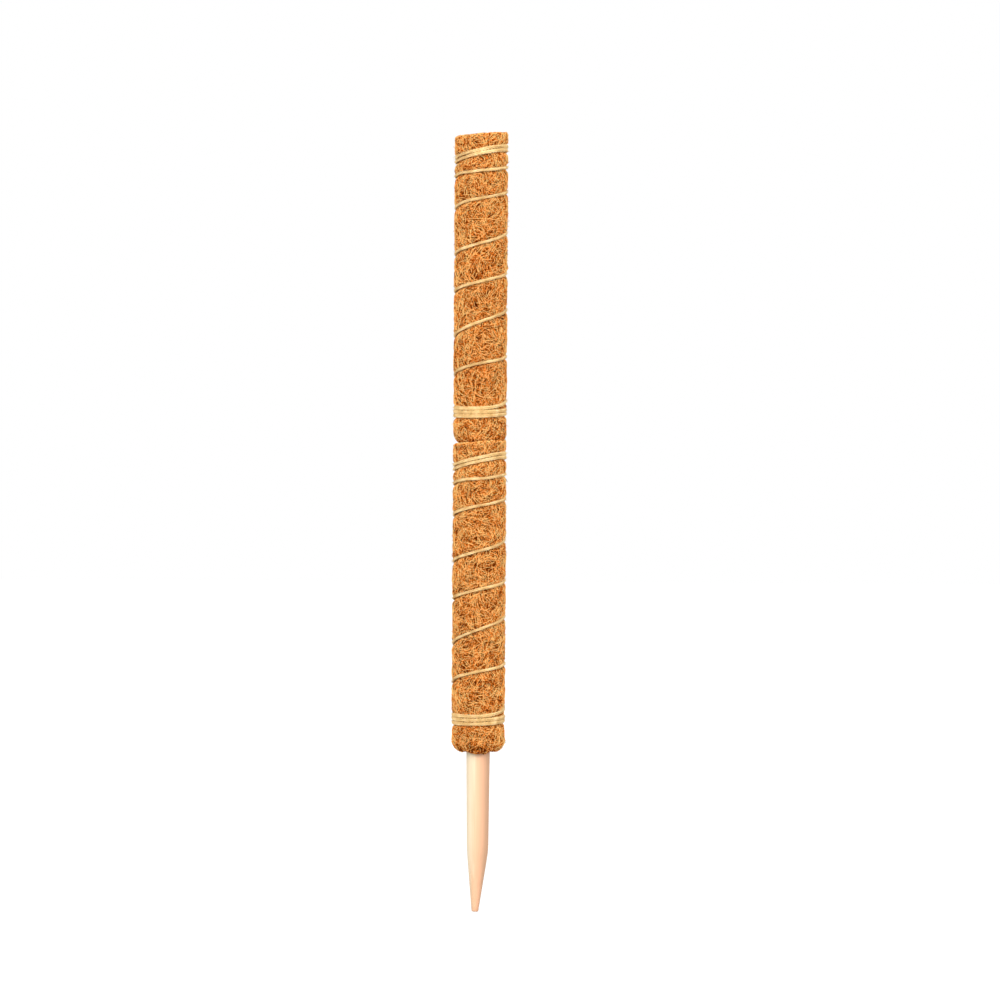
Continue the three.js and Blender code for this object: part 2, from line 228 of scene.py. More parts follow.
# Camera: the picture's width at the pole's axis, and where the axis and the middle of the pole fall in it
PICTURE_PIXELS = 1000
PICTURE_WIDTH = 513.1 * MM
POLE_MIDDLE_PIXEL = (479.5, 522)
POLE_LEAN = math.radians(0.32)
CAMERA_DISTANCE = 3.0
SENSOR_WIDTH = 36

# Floor and light; the lamps have their places and sizes in metres and their powers in watts
FLOOR_REACH = 12
FLOOR_GAP = 0.2 * MM
FLOOR_GREY = 0.4
FLOOR_GLOW = 1.3
FLOOR_GLOW_SHARE = 0.8
AMBIENT = 0.74
Lamp = namedtuple("Lamp", "name place size power")
LAMPS = (
    Lamp("key", (-0.9, -2.2, 1.0), 1.4, 45),
    Lamp("fill", (1.3, -2.0, 0.6), 1.6, 31),
    Lamp("back", (0.5, 2.3, 0.9), 1.6, 42),
)

LOWER_SEED = 11
UPPER_SEED = 12

# Map of each piece: its name, and the share of a tube's cell that is left free along each edge
MAP_NAME = "OFBake"
MAP_INSET = 0.06


# Arrays

def unit(vectors):
    return vectors / np.linalg.norm(vectors, axis=-1, keepdims=True)


def smoothstep(values, low, high):
    t = np.clip((values - low) / (high - low), 0, 1)
    return t * t * (3 - 2 * t)


def round_angles(count):
    return 2 * math.pi * np.arange(count) / count


def wrapped(angles):
    """Angles brought within half a turn of zero."""
    return np.angle(np.exp(1j * angles))


def run_along(line):
    """Distance of each point of a line from its start."""
    lengths = np.linalg.norm(np.diff(line, axis=0), axis=1)
    return np.concatenate([[0], np.cumsum(lengths)])


def points_along(line, run, wanted):
    return np.stack([np.interp(wanted, run, column) for column in line.T], axis=-1)


def between(grid, i, j, s, t):
    """Values of a grid that closes on itself round the pole, s and t of a cell past column i and row j."""
    near, far = i % len(grid), (i + 1) % len(grid)
    low = grid[near, j] * (1 - s) + grid[far, j] * s
    high = grid[near, j + 1] * (1 - s) + grid[far, j + 1] * s
    return low * (1 - t) + high * t


def smooth_noise(rng, across, upward, columns, rows):
    """Smooth random values from -1 to 1 at places given in cells, which repeat round the pole."""
    values = rng.uniform(-1, 1, (columns, rows + 2))
    i, j = np.floor(across).astype(int), np.floor(upward).astype(int)
    s, t = smoothstep(across - i, 0, 1), smoothstep(upward - j, 0, 1)
    return between(values, i, np.clip(j, 0, rows), s, t)


def uneven(rng, run, step, most):
    """Random values along a run, at most so large either way, with one drawn at each step."""
    places = np.arange(0, run[-1] + step, step)
    return np.interp(run, places, rng.uniform(-most, most, len(places)))


# Meshes from arrays

def add_object(name, data):
    thing = bpy.data.objects.new(name, data)
    bpy.context.scene.collection.objects.link(thing)
    return thing


def make_mesh(name, vertices, corners, face_sizes, uvs, values):
    """An object from its vertices, the corners of its faces in order, and values at its vertices."""
    mesh = bpy.data.meshes.new(name)
    mesh.vertices.add(len(vertices))
    mesh.vertices.foreach_set("co", vertices.astype(np.float32).ravel())
    mesh.loops.add(len(corners))
    mesh.loops.foreach_set("vertex_index", corners.astype(np.int32))
    mesh.polygons.add(len(face_sizes))
    starts = np.concatenate([[0], np.cumsum(face_sizes)[:-1]])
    mesh.polygons.foreach_set("loop_start", starts.astype(np.int32))
    mesh.update(calc_edges=True)
    mesh.uv_layers.new(name=MAP_NAME).uv.foreach_set("vector", uvs.astype(np.float32).ravel())
    for key, value in values.items():
        mesh.attributes.new(key, "FLOAT", "POINT").data.foreach_set("value", value.astype(np.float32))
    mesh.shade_smooth()
    return add_object(name, mesh)


def grid_faces(rows, columns, closes_rows, closes_columns):
    """Corner numbers of the four-sided faces of a grid of vertices, one face a line."""
    i = np.arange(rows if closes_rows else rows - 1)[:, None]
    j = np.arange(columns if closes_columns else columns - 1)[None, :]
    ahead = (i + 1) % rows
    beside = (j + 1) % columns
    faces = [i * columns + j, i * columns + beside, ahead * columns + beside, ahead * columns + j]
    return np.stack(np.broadcast_arrays(*faces), axis=-1).reshape(-1, 4)


def grid_map(rows, columns):
    """Places on a square map for the corners of rows by columns of faces, in the order of grid_faces."""
    i = np.arange(rows)[:, None] / rows
    j = np.arange(columns)[None, :] / columns
    corners = [(i, j), (i, j + 1 / columns), (i + 1 / rows, j + 1 / columns), (i + 1 / rows, j)]
    places = [np.stack(np.broadcast_arrays(v, u), axis=-1) for u, v in corners]
    return np.stack(places, axis=2).reshape(-1, 2)


def tubes(name, centres, outward, radii, sides, cells, values):
    """Closed tubes along rows of centres. Each tube takes as many cells of the map as cells says."""
    count, rings = centres.shape[:2]
    along = unit(np.gradient(centres, axis=1))
    sideways = unit(np.cross(along, outward))
    out = np.cross(sideways, along)
    angles = round_angles(sides)[:, None]
    ring = np.cos(angles) * out[:, :, None] + np.sin(angles) * sideways[:, :, None]
    vertices = centres[:, :, None] + radii[:, :, None, None] * ring
    skin = grid_faces(rings, sides, False, True)
    first = np.arange(count)[:, None, None] * rings * sides
    start_cap = np.arange(sides)[::-1]
    end_cap = np.arange(sides) + (rings - 1) * sides
    caps = np.stack([start_cap, end_cap])
    corners = np.concatenate([(first + skin).ravel(), (first + caps).ravel()])
    face_sizes = np.concatenate([np.full(count * len(skin), 4), np.full(count * 2, sides)])
    uvs = tube_map(count, rings - 1, sides, cells)
    spread = {key: np.repeat(value.ravel(), sides) for key, value in values.items()}
    return make_mesh(name, vertices.reshape(-1, 3), corners, face_sizes, uvs, spread)


def tube_map(count, segments, sides, cells):
    """Each cell of the map holds one stretch of one tube, unrolled; a cap lies in a corner of its cell."""
    per_cell = segments // cells
    columns = math.ceil(math.sqrt(count * cells))
    numbers = np.meshgrid(np.arange(count), np.arange(segments), np.arange(sides), indexing="ij")
    tube, segment, side = numbers
    cell = tube * cells + segment // per_cell
    low = np.stack([cell % columns, cell // columns], axis=-1)
    step = (segment % per_cell) / per_cell
    places = []
    for ahead, beside in ((0, 0), (0, 1), (1, 1), (1, 0)):
        inside = np.stack([step + ahead / per_cell, (side + beside) / sides], axis=-1)
        places.append((low + MAP_INSET + (1 - 2 * MAP_INSET) * inside) / columns)
    skin = np.stack(places, axis=3).reshape(-1, 2)
    ends = np.stack([np.arange(count) * cells, np.arange(count) * cells + cells - 1], axis=1)
    corner = np.stack([ends % columns, ends // columns], axis=-1)[:, :, None]
    angles = round_angles(sides)
    disc = MAP_INSET / 2 * (1 + np.stack([np.cos(angles), np.sin(angles)], axis=-1))
    caps = ((corner + disc) / columns).reshape(-1, 2)
    return np.concatenate([skin, caps])


def lathe(name, outline, sides):
    """A turned ring from the radii and heights of its outline, which is closed on itself."""
    radius, height = np.array(outline).T[:, :, None]
    angles = round_angles(sides)
    places = np.broadcast_arrays(radius * np.cos(angles), radius * np.sin(angles), height)
    vertices = np.stack(places, axis=-1).reshape(-1, 3)
    faces = grid_faces(len(outline), sides, True, True)
    uvs = grid_map(len(outline), sides)
    return make_mesh(name, vertices, faces.ravel(), np.full(len(faces), 4), uvs, {})


# Twine's path, as in the solids: turn 0 is the first strand at the front

def strand_heights():
    """Heights of the strands at the front, one for each whole turn from turn -1 on."""
    first_upper = RIM_HEIGHT - UPPER_LASH_DROP - (UPPER_LASH_STRANDS - 1) * TWINE_SPACING
    last_lower = LOWER_LASH_HEIGHT + (LOWER_LASH_STRANDS - 1) * TWINE_SPACING
    pitch = (first_upper - last_lower) / sum(SPIRAL_SHARES)
    climbs = [TWINE_SPACING] * LOWER_LASH_STRANDS
    climbs += [share * pitch for share in SPIRAL_SHARES]
    climbs += [TWINE_SPACING] * UPPER_LASH_STRANDS
    return LOWER_LASH_HEIGHT - TWINE_SPACING + np.concatenate([[0], np.cumsum(climbs)])


STRAND_HEIGHTS = strand_heights()
STRAND_CLIMBS = np.diff(STRAND_HEIGHTS)
STRAND_SLOPES = np.minimum(np.append(STRAND_CLIMBS, np.inf), np.insert(STRAND_CLIMBS, 0, np.inf))
STRAND_SLOPES[LOWER_LASH_STRANDS + 1:][:len(SPIRAL_LEANS)] *= SPIRAL_LEANS
FIRST_TURN = -0.5
LAST_TURN = len(STRAND_HEIGHTS) - 2.5
LAST_LOWER_TURN = LOWER_LASH_STRANDS - 1
FIRST_UPPER_TURN = LAST_LOWER_TURN + len(SPIRAL_SHARES)
BEND_TURN = TWINE_BEND / (2 * math.pi * WINDING_RADIUS)
CROSSED_TURNS = (FIRST_TURN + 1, FIRST_TURN + 2, LAST_TURN - 2, LAST_TURN - 1)


def azimuth_after(turns):
    return 2 * math.pi * turns + FRONT_AZIMUTH


def turns_up_to(azimuth):
    return (azimuth - FRONT_AZIMUTH) / (2 * math.pi)


def climbed_height(turns):
    """Height on a smooth curve through the heights and slopes of the strands at the front."""
    index = np.clip(np.floor(turns).astype(int) + 1, 0, len(STRAND_HEIGHTS) - 2)
    t = turns + 1 - index
    eased = STRAND_CLIMBS[index] * t * t * (3 - 2 * t)
    leaving = t * (1 - t) ** 2 * STRAND_SLOPES[index]
    arriving = t * t * (t - 1) * STRAND_SLOPES[index + 1]
    return STRAND_HEIGHTS[index] + eased + leaving + arriving


def twine_height(turns):
    """Height after so many turns, with the droop and the tilt of the lashings."""
    azimuth = azimuth_after(turns)
    in_lower = 1 - smoothstep(turns, LAST_LOWER_TURN, LAST_LOWER_TURN + 1)
    in_upper = smoothstep(turns, FIRST_UPPER_TURN - 1, FIRST_UPPER_TURN)
    droop = in_lower * LOWER_LASH_DROOP * np.sin(azimuth)
    tilt = in_upper * (UPPER_LASH_TILT * np.cos(azimuth) - UPPER_LASH_NOD * np.sin(azimuth))
    return climbed_height(turns) + droop + tilt


def hump_lift(turns):
    """How far a strand stands off the sleeve where it crosses one of the tails."""
    nearest = np.min([np.abs(turns - crossed) for crossed in CROSSED_TURNS], axis=0)
    distance = np.minimum(nearest * 2 * math.pi * WINDING_RADIUS, HUMP_HALF_LENGTH)
    return TWINE_SPACING * np.cos(0.5 * math.pi * distance / HUMP_HALF_LENGTH) ** 2


FIRST_STRAND = float(twine_height(np.array(FIRST_TURN + BEND_TURN)))
LAST_STRAND = float(twine_height(np.array(LAST_TURN - BEND_TURN)))
FIRST_FREE_END = float(twine_height(np.array(FIRST_TURN + 2))) + TWINE_TAIL
LAST_FREE_END = float(twine_height(np.array(LAST_TURN - 2))) - TWINE_TAIL


def twine_path():
    """Azimuths, heights and radii of closely spaced points along the whole twine, tails included."""
    bend = np.linspace(0, 0.5 * math.pi, BEND_POINTS + 1)[:-1]
    bend_angle = TWINE_BEND / WINDING_RADIUS
    before = np.linspace(FIRST_FREE_END, FIRST_STRAND + TWINE_BEND, TAIL_POINTS + 1)[:-1]
    turns = np.arange(FIRST_TURN + BEND_TURN, LAST_TURN - BEND_TURN, 1 / TURN_POINTS)
    after = np.linspace(LAST_STRAND - TWINE_BEND, LAST_FREE_END, TAIL_POINTS + 1)[1:]
    first_azimuth, last_azimuth = azimuth_after(FIRST_TURN), azimuth_after(LAST_TURN)
    azimuth = np.concatenate([
        np.full(len(before), first_azimuth),
        first_azimuth + bend_angle * (1 - np.cos(bend)),
        azimuth_after(turns),
        last_azimuth - bend_angle * (1 - np.sin(bend)),
        np.full(len(after), last_azimuth),
    ])
    height = np.concatenate([
        before,
        FIRST_STRAND + TWINE_BEND * (1 - np.sin(bend)),
        twine_height(turns),
        LAST_STRAND - TWINE_BEND * (1 - np.cos(bend)),
        after,
    ])
    lift = np.zeros(len(azimuth))
    first = len(before) + len(bend)
    lift[first:first + len(turns)] = hump_lift(turns)
    return azimuth, height, WINDING_RADIUS + lift


# Sleeve's surface

def rounding(bend, middle_height, first_angle, last_angle, count):
    """Radii and heights round an arc, whose middle lies as far out as that of the foot's rounding."""
    angles = np.linspace(first_angle, last_angle, count)
    return np.stack([FOOT_MIDDLE_RADIUS + bend * np.cos(angles), middle_height + bend * np.sin(angles)])


def sleeve_profile(azimuth):
    """Radii and heights from the foot's inner edge, up the side and over the rim into its dish."""
    foot = rounding(FOOT_ROUND, FOOT_ROUND, -0.5 * math.pi, 0, FOOT_POINTS)
    rim = RIM_HEIGHT + RIM_SLANT * math.cos(azimuth) / 2
    dish_top = max(rim - RIM_EDGE, STACK_PITCH - SEAT_GAP)
    top_angle = math.asin(max(-1.0, (dish_top - DISH_MIDDLE_HEIGHT) / DISH_ROUND))
    dish = rounding(DISH_ROUND, DISH_MIDDLE_HEIGHT, top_angle, -0.5 * math.pi, DISH_POINTS)
    t = np.linspace(0, 1, LIP_POINTS)
    side_top = np.array([MAT_RADIUS, rim - RIM_EDGE])[:, None]
    crown_height = 2 * rim - (rim - RIM_EDGE + dish[1, 0]) / 2
    crown = np.array([(MAT_RADIUS + dish[0, 0]) / 2, crown_height])[:, None]
    lip = (1 - t) ** 2 * side_top + 2 * t * (1 - t) * crown + t ** 2 * dish[:, :1]
    return np.concatenate([foot, lip, dish[:, 1:]], axis=1).T


def dish_radius(height):
    """Radius of the rim's dish at a height, or of the sleeve's bore below the dish."""
    below = np.minimum(DISH_MIDDLE_HEIGHT - height, DISH_ROUND)
    return np.maximum(FOOT_MIDDLE_RADIUS + np.sqrt(DISH_ROUND ** 2 - below ** 2), MAT_INNER_RADIUS)


def even_points(line, count):
    run = run_along(line)
    return points_along(line, run, np.linspace(0, run[-1], count))


def distance_to_twine(azimuth, height):
    """Least distance on the sleeve from a grid of places to the twine's strands and tucked tails."""
    first_turns = turns_up_to(azimuth)
    least = np.full(np.broadcast(azimuth, height).shape, np.inf)
    for turn in range(-1, len(STRAND_HEIGHTS)):
        turns = first_turns + turn
        is_wound = (turns > FIRST_TURN) & (turns < LAST_TURN)
        strand = twine_height(np.clip(turns, FIRST_TURN, LAST_TURN))
        least = np.where(is_wound, np.minimum(least, np.abs(height - strand)), least)
    across = MAT_RADIUS * np.abs(wrapped(azimuth - BACK_AZIMUTH))
    for low, high in ((FIRST_STRAND, FIRST_FREE_END), (LAST_FREE_END, LAST_STRAND)):
        beyond = np.maximum(np.maximum(low - height, height - high), 0)
        least = np.minimum(least, np.hypot(across, beyond))
    return least


def hem(rng, azimuth):
    """How far the frayed foot hangs down round the pole."""
    from_front = wrapped(azimuth - FRONT_AZIMUTH)
    waves = sum(np.sin(count * azimuth + rng.uniform(0, 2 * math.pi)) for count in HEM_WAVES)
    return HEM_SAG * np.exp(-(from_front / HEM_SAG_ANGLE) ** 2) + HEM_WAVE_HEIGHT * waves


class Sleeve:
    """The sleeve's surface as a grid of places and outward directions, pressed in along the twine and the
    seam, with the share of the felt's full depth that there is room for in the thin lip of the rim."""

    def __init__(self, rng, frayed_end):
        azimuth = round_angles(FELT_AZIMUTHS)
        outline = np.stack([even_points(sleeve_profile(a), FELT_ROWS) for a in azimuth])
        along = unit(np.gradient(outline, axis=1))
        radius, height = outline[..., 0], outline[..., 1]
        facing = along[..., 1]
        azimuth = azimuth[:, None]
        self.length = run_along(outline[0])[-1]
        self.room = np.minimum(1, FELT_LIP_SHARE * (MAT_RADIUS - dish_radius(height)) / FELT_DEPTH)
        self.upright = np.clip(facing, 0, 1)
        from_groove = distance_to_twine(azimuth, height + PRESS_DROP)
        from_seam = MAT_RADIUS * wrapped(azimuth - SEAM_AZIMUTH)
        groove = PRESS_DEPTH * np.exp(-(from_groove / PRESS_WIDTH) ** 2)
        pressed = np.maximum(groove, SEAM_DEPTH * np.exp(-(from_seam / SEAM_WIDTH) ** 2))
        lump = LUMP_HEIGHT * self.noise(rng, LUMP_SIZE) - LUMP_HEIGHT / 2
        radius = radius + self.upright * (np.minimum(lump, 0) - pressed)
        if frayed_end == "foot":
            height = height - hem(rng, azimuth) * (1 - smoothstep(height, 0, FOOT_ROUND))
        round_x, round_y = np.cos(azimuth), np.sin(azimuth)
        self.places = np.stack([radius * round_x, radius * round_y, height], axis=-1)
        self.outward = np.stack([facing * round_x, facing * round_y, -along[..., 0]], axis=-1)
        self.holes = HOLE_DEPTH * (1 + self.noise(rng, HOLE_SIZE)) / 2
        self.grain = math.pi * self.noise(rng, GRAIN_SIZE)

    def noise(self, rng, size):
        """Smooth random values over the grid, with cells of about this size."""
        columns = round(2 * math.pi * MAT_RADIUS / size)
        rows = round(self.length / size)
        across = np.arange(FELT_AZIMUTHS)[:, None] * columns / FELT_AZIMUTHS
        upward = np.arange(FELT_ROWS)[None, :] * rows / FELT_ROWS
        return smooth_noise(rng, *np.broadcast_arrays(across, upward), columns, rows)

    def at(self, grid, turns, shares):
        """Values of one of the grids at turns round the pole and shares of the way from foot to rim."""
        across = (turns % 1) * FELT_AZIMUTHS
        upward = np.clip(shares, 0, 1) * (FELT_ROWS - 1)
        i = np.floor(across).astype(int)
        j = np.minimum(np.floor(upward).astype(int), FELT_ROWS - 2)
        s, t = across - i, upward - j
        if grid.ndim == 3:
            s, t = s[..., None], t[..., None]
        return between(grid, i, j, s, t)


# Pieces of one pole

def make_felt(name, sleeve):
    """Closed felt body under the fibres: the sunk surface outside, and a straight wall round the tube."""
    depth = sleeve.room * (FELT_DEPTH + sleeve.holes)
    sunk = sleeve.places - sleeve.outward * depth[..., None]
    reach = np.hypot(sunk[..., 0], sunk[..., 1])
    grow = np.maximum((MAT_INNER_RADIUS + FELT_WALL_STEP) / reach, 1)
    sunk[..., :2] *= grow[..., None]
    wall = unit(sunk[:, [-1, 0], :2]) * MAT_INNER_RADIUS
    wall = np.concatenate([wall, sunk[:, [-1, 0], 2:]], axis=-1)
    vertices = np.concatenate([sunk, wall], axis=1)
    rows = vertices.shape[1]
    faces = grid_faces(FELT_AZIMUTHS, rows, True, True)[:, ::-1]
    uvs = grid_map(FELT_AZIMUTHS, rows).reshape(-1, 4, 2)[:, ::-1].reshape(-1, 2)
    # painted shade: how deep the felt is sunk, which darkens it
    hollow_shade = np.concatenate([sleeve.holes / HOLE_DEPTH, np.ones((FELT_AZIMUTHS, 2))], axis=1)
    sizes = np.full(len(faces), 4)
    return make_mesh(name, vertices.reshape(-1, 3), faces.ravel(), sizes, uvs, {"hollow_shade": hollow_shade.ravel()})


def fibre_courses(rng, sleeve, layer):
    """Wandering courses over the sleeve: turns round the pole and shares of the way from foot to rim.
    Fibres lie side by side in tufts, which are spread evenly and lie roughly along the felt's grain."""
    count, rings = layer.count, layer.rings
    tuft, row = np.divmod(np.arange(count), layer.tuft)
    tufts = tuft[-1] + 1
    middles = (rng.uniform(0, 1, 2) + np.arange(tufts)[:, None] * EVEN_STEPS) % 1
    lengths = rng.uniform(*layer.lengths, count)
    step = (lengths / (rings - 1))[:, None]
    curl = rng.normal(0, FIBRE_CURL, (tufts, rings))
    for k in range(1, rings):
        curl[:, k] = FIBRE_CURL_MEMORY * curl[:, k - 1] + (1 - FIBRE_CURL_MEMORY) * curl[:, k]
    heading = sleeve.at(sleeve.grain, middles[:, 0], middles[:, 1]) + rng.normal(0, FIBRE_SPREAD, tufts)
    beside = (row - (layer.tuft - 1) / 2) * TUFT_SPACING + rng.normal(0, TUFT_JITTER, count)
    ahead = rng.uniform(-TUFT_STAGGER, TUFT_STAGGER, count)
    cosine, sine = np.cos(heading[tuft]), np.sin(heading[tuft])
    shift = np.stack([ahead * cosine - beside * sine, ahead * sine + beside * cosine], axis=-1)
    middles = middles[tuft] + shift / (2 * math.pi * MAT_RADIUS, sleeve.length)
    heading = (heading[tuft] + rng.normal(0, TUFT_SPREAD, count))[:, None]
    heading = heading + np.cumsum(curl[tuft] * step, axis=1)
    across = np.cumsum(np.cos(heading) * step, axis=1) / (2 * math.pi * MAT_RADIUS)
    upward = np.cumsum(np.sin(heading) * step, axis=1) / sleeve.length
    turns = middles[:, :1] + across - across.mean(axis=1, keepdims=True)
    shares = middles[:, 1:] + upward - upward.mean(axis=1, keepdims=True)
    shares = 1 - np.abs(1 - np.abs(shares))
    return turns, shares


def fibre_rises(rng, layer, from_frayed):
    """Heights of the fibres over the surface: most ends dive into the felt, and a few lift off it."""
    per_fibre = (layer.count, 1)
    t = np.linspace(0, 1, layer.rings)
    waves = rng.uniform(*FIBRE_WAVES, per_fibre) * t + rng.uniform(0, 1, per_fibre)
    start_dive = 1 - smoothstep(t, 0, FIBRE_DIVE_SHARE)
    end_dive = smoothstep(t, 1 - FIBRE_DIVE_SHARE, 1)
    is_at_end = from_frayed.mean(axis=1, keepdims=True) < FRAYED_END_SHARE
    is_loose = rng.uniform(0, 1, per_fibre) < np.where(is_at_end, FRAYED_LOOSE_SHARE, LOOSE_SHARE)
    lift = np.where(is_loose, rng.uniform(*LOOSE_LIFTS, per_fibre), -FIBRE_END_DIVE)
    rise = FIBRE_WAVE * np.sin(2 * math.pi * waves) - FIBRE_END_DIVE * start_dive + lift * end_dive
    return rise - rng.uniform(*layer.depths, per_fibre)


def fibre_tones(rng, layer, centres, outward):
    """Each fibre has its own tone, which drifts along it and pales at the rim, with painted shade where it
    faces down.
    """
    tones = rng.normal(layer.tone, TONE_SPREAD, (layer.count, 1))
    tones = tones + rng.normal(0, TONE_DRIFT, centres.shape[:2])
    tones = tones + RIM_PALENESS * smoothstep(centres[..., 2], RIM_HEIGHT - RIM_PALE_BAND, RIM_HEIGHT)
    # painted shade on the undersides of the fibres
    return tones - UNDERSIDE_PAINTED_SHADE * np.clip(-outward[..., 2], 0, 1)


def make_fibres(name, rng, sleeve, layer, frayed_end):
    """One layer of curly fibres, none of which stands off the surface where the poles meet."""
    turns, shares = fibre_courses(rng, sleeve, layer)
    from_frayed = 1 - shares if frayed_end == "rim" else shares
    rise = fibre_rises(rng, layer, from_frayed)
    rise = np.where(rise < 0, rise * sleeve.at(sleeve.room, turns, shares), rise)
    t = np.linspace(0, 1, layer.rings)
    radii = rng.uniform(*layer.radii, (layer.count, 1)) * (1 - FIBRE_TAPER * np.abs(2 * t - 1) ** 3)
    is_free = (from_frayed < 0.5) | (sleeve.at(sleeve.upright, turns, shares) > UPRIGHT_SIDE)
    rise = np.where(is_free, rise, np.minimum(rise, -radii))
    rise = rise - FIBRE_HOLE_SHARE * sleeve.at(sleeve.holes, turns, shares)
    outward = unit(sleeve.at(sleeve.outward, turns, shares))
    centres = sleeve.at(sleeve.places, turns, shares) + outward * rise[..., None]
    tones = fibre_tones(rng, layer, centres, outward)
    return tubes(name, centres, outward, radii, FIBRE_SIDES, 1, {"tone": tones})


Course = namedtuple("Course", "points outward along sideways run turns")


def twine_course():
    """The twine at even steps: its points, the directions out of the pole, along the twine and across it
    there, and how far along the twine and how many turns round the pole they are."""
    azimuth, height, radius = twine_path()
    line = np.stack([radius * np.cos(azimuth), radius * np.sin(azimuth), height], axis=-1)
    line_run = run_along(line)
    segments = PLY_CELLS * round(line_run[-1] / PLY_STEP / PLY_CELLS)
    run = np.linspace(0, line_run[-1], segments + 1)
    points = points_along(line, line_run, run)
    azimuth = np.interp(run, line_run, azimuth)
    outward = np.stack([np.cos(azimuth), np.sin(azimuth), np.zeros_like(azimuth)], axis=-1)
    along = unit(np.gradient(points, axis=0))
    sideways = unit(np.cross(along, outward))
    return Course(points, outward, along, sideways, run, turns_up_to(azimuth))


def lashed_share(course):
    """How flat the twine is drawn: all round in the lower lashing, and most at the right in the upper one."""
    in_lower = 1 - smoothstep(course.turns, LAST_LOWER_TURN, LAST_LOWER_TURN + LASH_EASE_TURNS)
    in_upper = smoothstep(course.turns, FIRST_UPPER_TURN - LASH_EASE_TURNS, FIRST_UPPER_TURN)
    return in_lower + in_upper * (1 + course.outward[:, 0]) / 2


def make_twine(name, rng):
    """Plies twisted round each other along the twine's path."""
    course = twine_course()
    in_lash = lashed_share(course)
    angle = 2 * math.pi * (course.run / PLY_LAY + np.arange(PLY_COUNT)[:, None] / PLY_COUNT)
    out = np.cos(angle) * (TWINE_FLATTENING + (LASH_FLATTENING - TWINE_FLATTENING) * in_lash)
    beside = np.sin(angle) * (TWINE_WIDENING + (LASH_WIDENING - TWINE_WIDENING) * in_lash)
    lean = out[..., None] * course.outward + beside[..., None] * course.sideways
    wander = uneven(rng, course.run, WANDER_STEP, WANDER) * (1 - in_lash)
    centres = course.points + wander[:, None] * course.sideways + PLY_OFFSET * lean
    slubs = uneven(rng, course.run, SLUB_STEP, SLUB_SHARE)
    radii = PLY_RADIUS * (1 + slubs) * (1 + (LASH_PLY_SWELL - 1) * in_lash)
    radii = np.broadcast_to(radii, centres.shape[:2])
    return tubes(name, centres, lean, radii, PLY_SIDES, PLY_CELLS, {})


def make_hairs(name, rng):
    """Short loose hairs that stand off the twine."""
    course = twine_course()
    per_hair = (HAIR_COUNT, 1, 1)
    start = rng.integers(HAIRLESS_END_POINTS, len(course.points) - HAIRLESS_END_POINTS, HAIR_COUNT)
    angle = rng.uniform(-0.5 * math.pi, 0.5 * math.pi, (HAIR_COUNT, 1))
    out = np.cos(angle) * course.outward[start] + np.sin(angle) * course.sideways[start]
    length = rng.uniform(*HAIR_LENGTHS, per_hair)
    t = np.linspace(0, 1, HAIR_RINGS)[None, :, None]
    forward = course.along[start][:, None] * rng.choice([-1, 1], per_hair)
    bend = rng.uniform(*HAIR_BENDS, per_hair)
    root = (course.points[start] + HAIR_ROOT_RADIUS * out)[:, None]
    centres = root + length * (t * forward + bend * t ** 2 * out[:, None])
    radii = np.broadcast_to(HAIR_RADIUS * (1 - HAIR_TAPER * t[..., 0]), (HAIR_COUNT, HAIR_RINGS))
    side = np.broadcast_to(out[:, None], centres.shape)
    return tubes(name, centres, side, radii, HAIR_SIDES, 1, {})


def make_tube(name):
    """Open tube, bevelled at both ends and less so inside than outside."""
    bore = TUBE_RADIUS - TUBE_WALL
    bore_edge = TUBE_EDGE / 2
    outline = [
        (bore, bore_edge),
        (bore + bore_edge, 0),
        (TUBE_RADIUS - TUBE_EDGE, 0),
        (TUBE_RADIUS, TUBE_EDGE),
        (TUBE_RADIUS, TUBE_LENGTH - TUBE_EDGE),
        (TUBE_RADIUS - TUBE_EDGE, TUBE_LENGTH),
        (bore + bore_edge, TUBE_LENGTH),
        (bore, TUBE_LENGTH - bore_edge),
    ]
    return lathe(name, outline, TUBE_SIDES)


def stake_profile():
    """Radii and heights from the blunt tip up the whittled point, its soft shoulder and the dowel."""
    tip, top = STAKE_LOW.z, STAKE_HIGH.z
    shoulder = STAKE_SHOULDER_HEIGHT
    shoulder_radius = STAKE_RADIUS - STAKE_TAPER
    slope = (shoulder_radius - STAKE_TIP_RADIUS) / STAKE_POINT_LENGTH
    profile = [(STAKE_TIP_RADIUS - STAKE_TIP_ROUND, tip)]
    profile += [(STAKE_TIP_RADIUS - STAKE_TIP_BEVEL, tip + STAKE_TIP_BEVEL)]
    for height in np.linspace(tip + STAKE_TIP_ROUND, shoulder - STAKE_SHOULDER_ROUND, STAKE_POINT_RINGS):
        profile += [(STAKE_TIP_RADIUS + slope * (height - tip), height)]
    for t in STAKE_SHOULDER_SHARES:
        height = shoulder + STAKE_SHOULDER_ROUND * (2 * t - 1)
        dowel_radius = shoulder_radius + STAKE_TAPER * (height - shoulder) / -shoulder
        profile += [(dowel_radius - slope * STAKE_SHOULDER_ROUND * (1 - t) ** 2, height)]
    profile += [(STAKE_RADIUS, 0), (STAKE_RADIUS, top - STAKE_EDGE), (STAKE_RADIUS - STAKE_EDGE, top)]
    return np.array(profile)


def make_stake(name):
    """Dowel with a long whittled point, which is set a little to one side."""
    radii, heights = stake_profile().T
    shift = STAKE_TIP_OFFSET * np.maximum(0, STAKE_SHOULDER_HEIGHT - heights) / STAKE_POINT_LENGTH
    centres = np.stack([shift, np.zeros_like(shift), heights], axis=-1)
    return tubes(name, centres[None], np.array([1, 0, 0]), radii[None], STAKE_SIDES, 1, {})


# Materials

def new_material(name, roughness, specular):
    material = bpy.data.materials.new(name)
    material.use_nodes = True
    shader = material.node_tree.nodes["Principled BSDF"]
    shader.inputs["Roughness"].default_value = roughness
    shader.inputs["Specular IOR Level"].default_value = specular
    return material, material.node_tree


